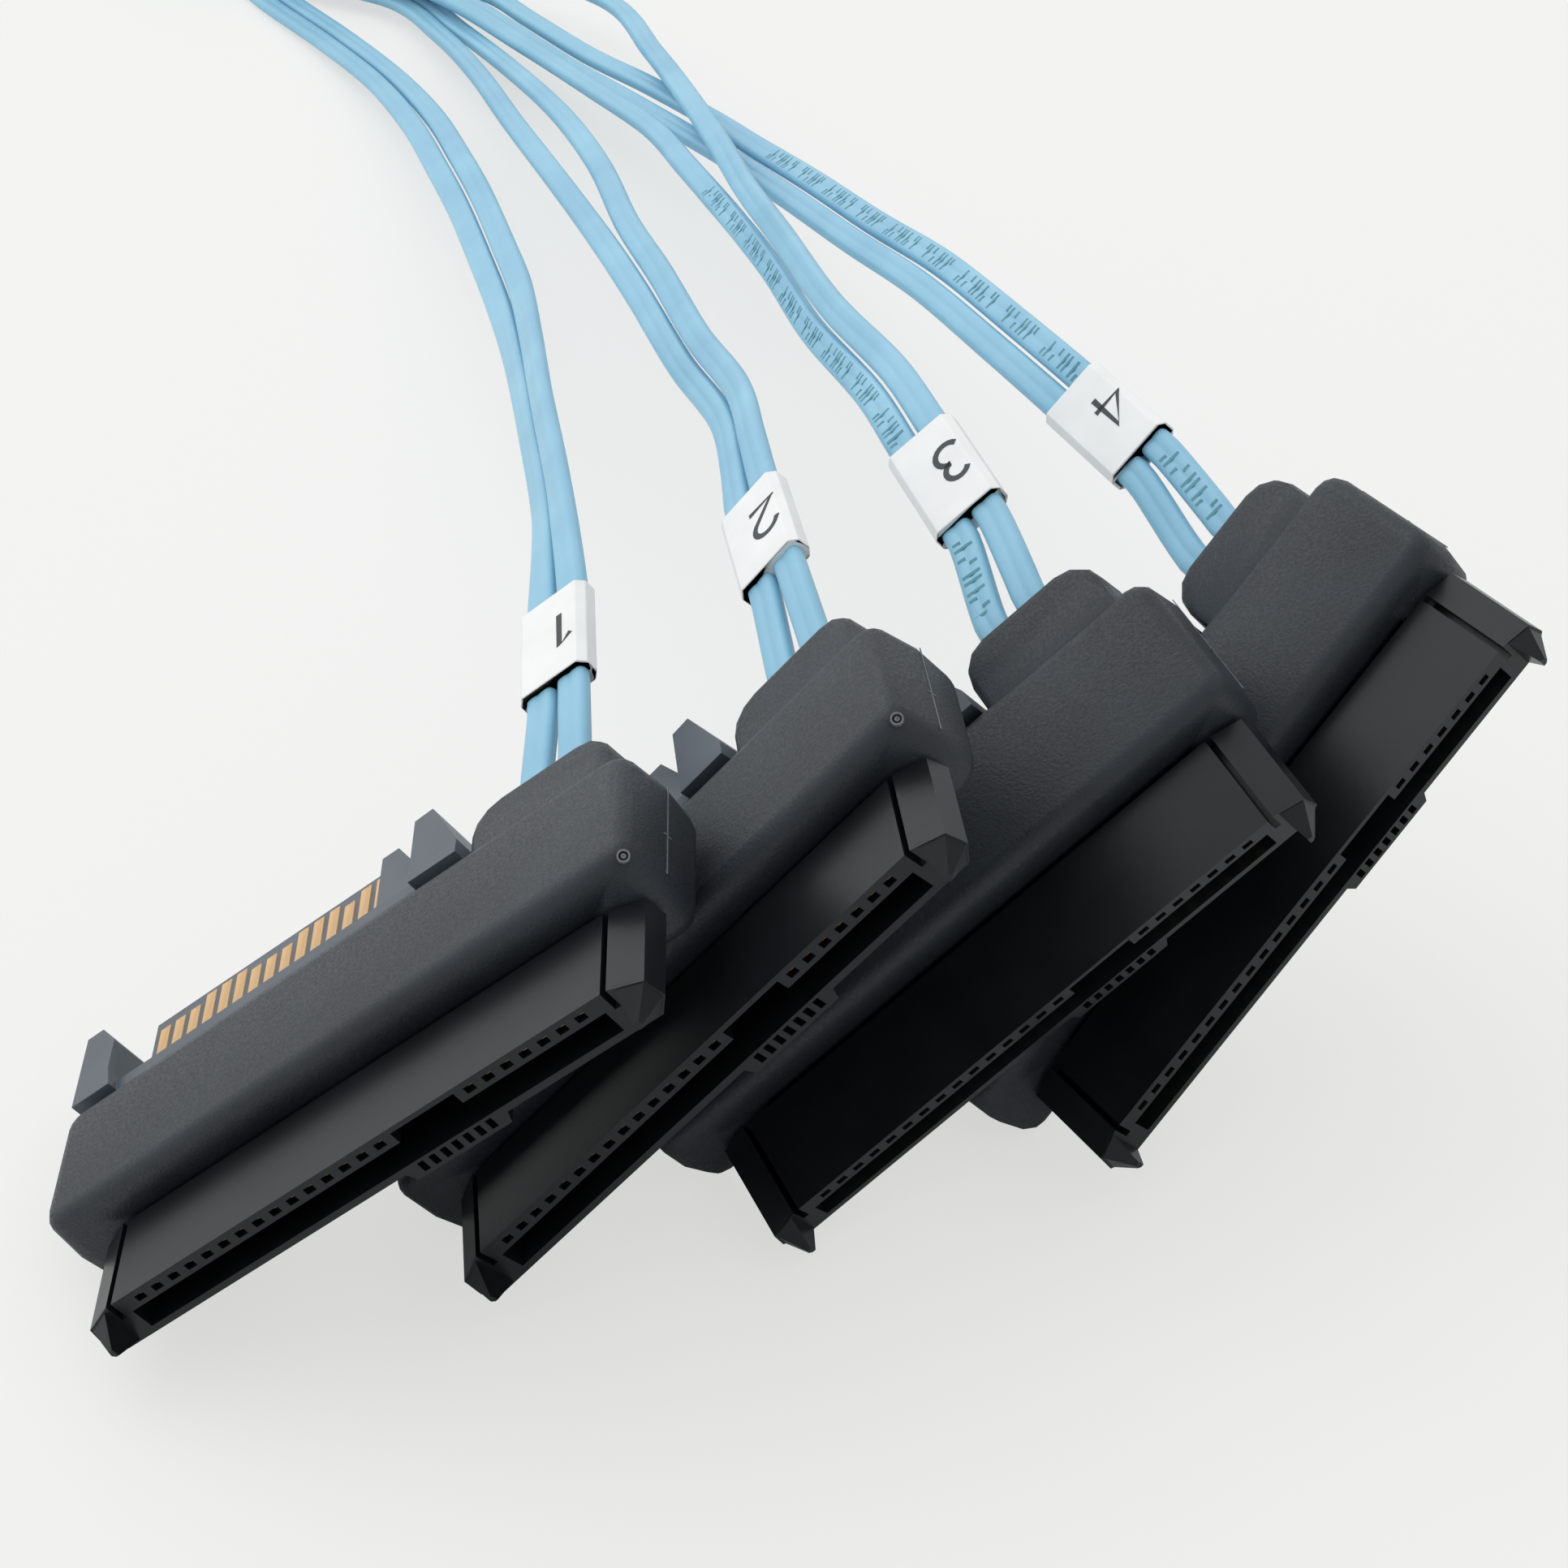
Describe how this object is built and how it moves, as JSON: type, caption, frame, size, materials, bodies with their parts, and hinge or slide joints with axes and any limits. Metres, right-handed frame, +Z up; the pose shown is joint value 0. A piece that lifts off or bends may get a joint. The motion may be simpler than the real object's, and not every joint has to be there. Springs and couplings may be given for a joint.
{
  "type": "mini sas breakout cable",
  "caption": "Breakout cable: fanned drive connectors with power and data contacts, flat blue ribbon legs with numbered sleeves, a coil and a host plug.",
  "frame": {"origin": "middle of the four drive connectors as seen from above, on the surface that they stand on", "axes": "+X to the right along the row of drive connectors, +Y back along the cable, +Z up"},
  "size_m": [0.1218, 0.2729, 0.0363],
  "materials": {
    "overmould": "fine grained black",
    "receptacle": "smooth black",
    "power_plug": "smooth dark grey",
    "ribbon": "soft light blue",
    "sleeve": "white",
    "shell": "smooth black",
    "board": "green board",
    "latch": "spring steel"
  },
  "bodies": {
    "root": {"overmold_1": "overmould", "receptacle_1": "receptacle", "power_plug_1": "power_plug", "overmold_2": "overmould", "receptacle_2": "receptacle", "power_plug_2": "power_plug", "overmold_3": "overmould", "receptacle_3": "receptacle", "power_plug_3": "power_plug", "overmold_4": "overmould", "receptacle_4": "receptacle", "power_plug_4": "power_plug", "ribbon_1a": "ribbon", "ribbon_1b": "ribbon", "label_1": "sleeve", "ribbon_2a": "ribbon", "ribbon_2b": "ribbon", "label_2": "sleeve", "ribbon_3a": "ribbon", "ribbon_3b": "ribbon", "label_3": "sleeve", "ribbon_4a": "ribbon", "ribbon_4b": "ribbon", "label_4": "sleeve", "cable_coil": "ribbon", "cable_tail": "ribbon", "host_overmold": "overmould", "host_shell": "shell", "host_card": "board", "host_latch": "latch"}
  },
  "joints": []
}
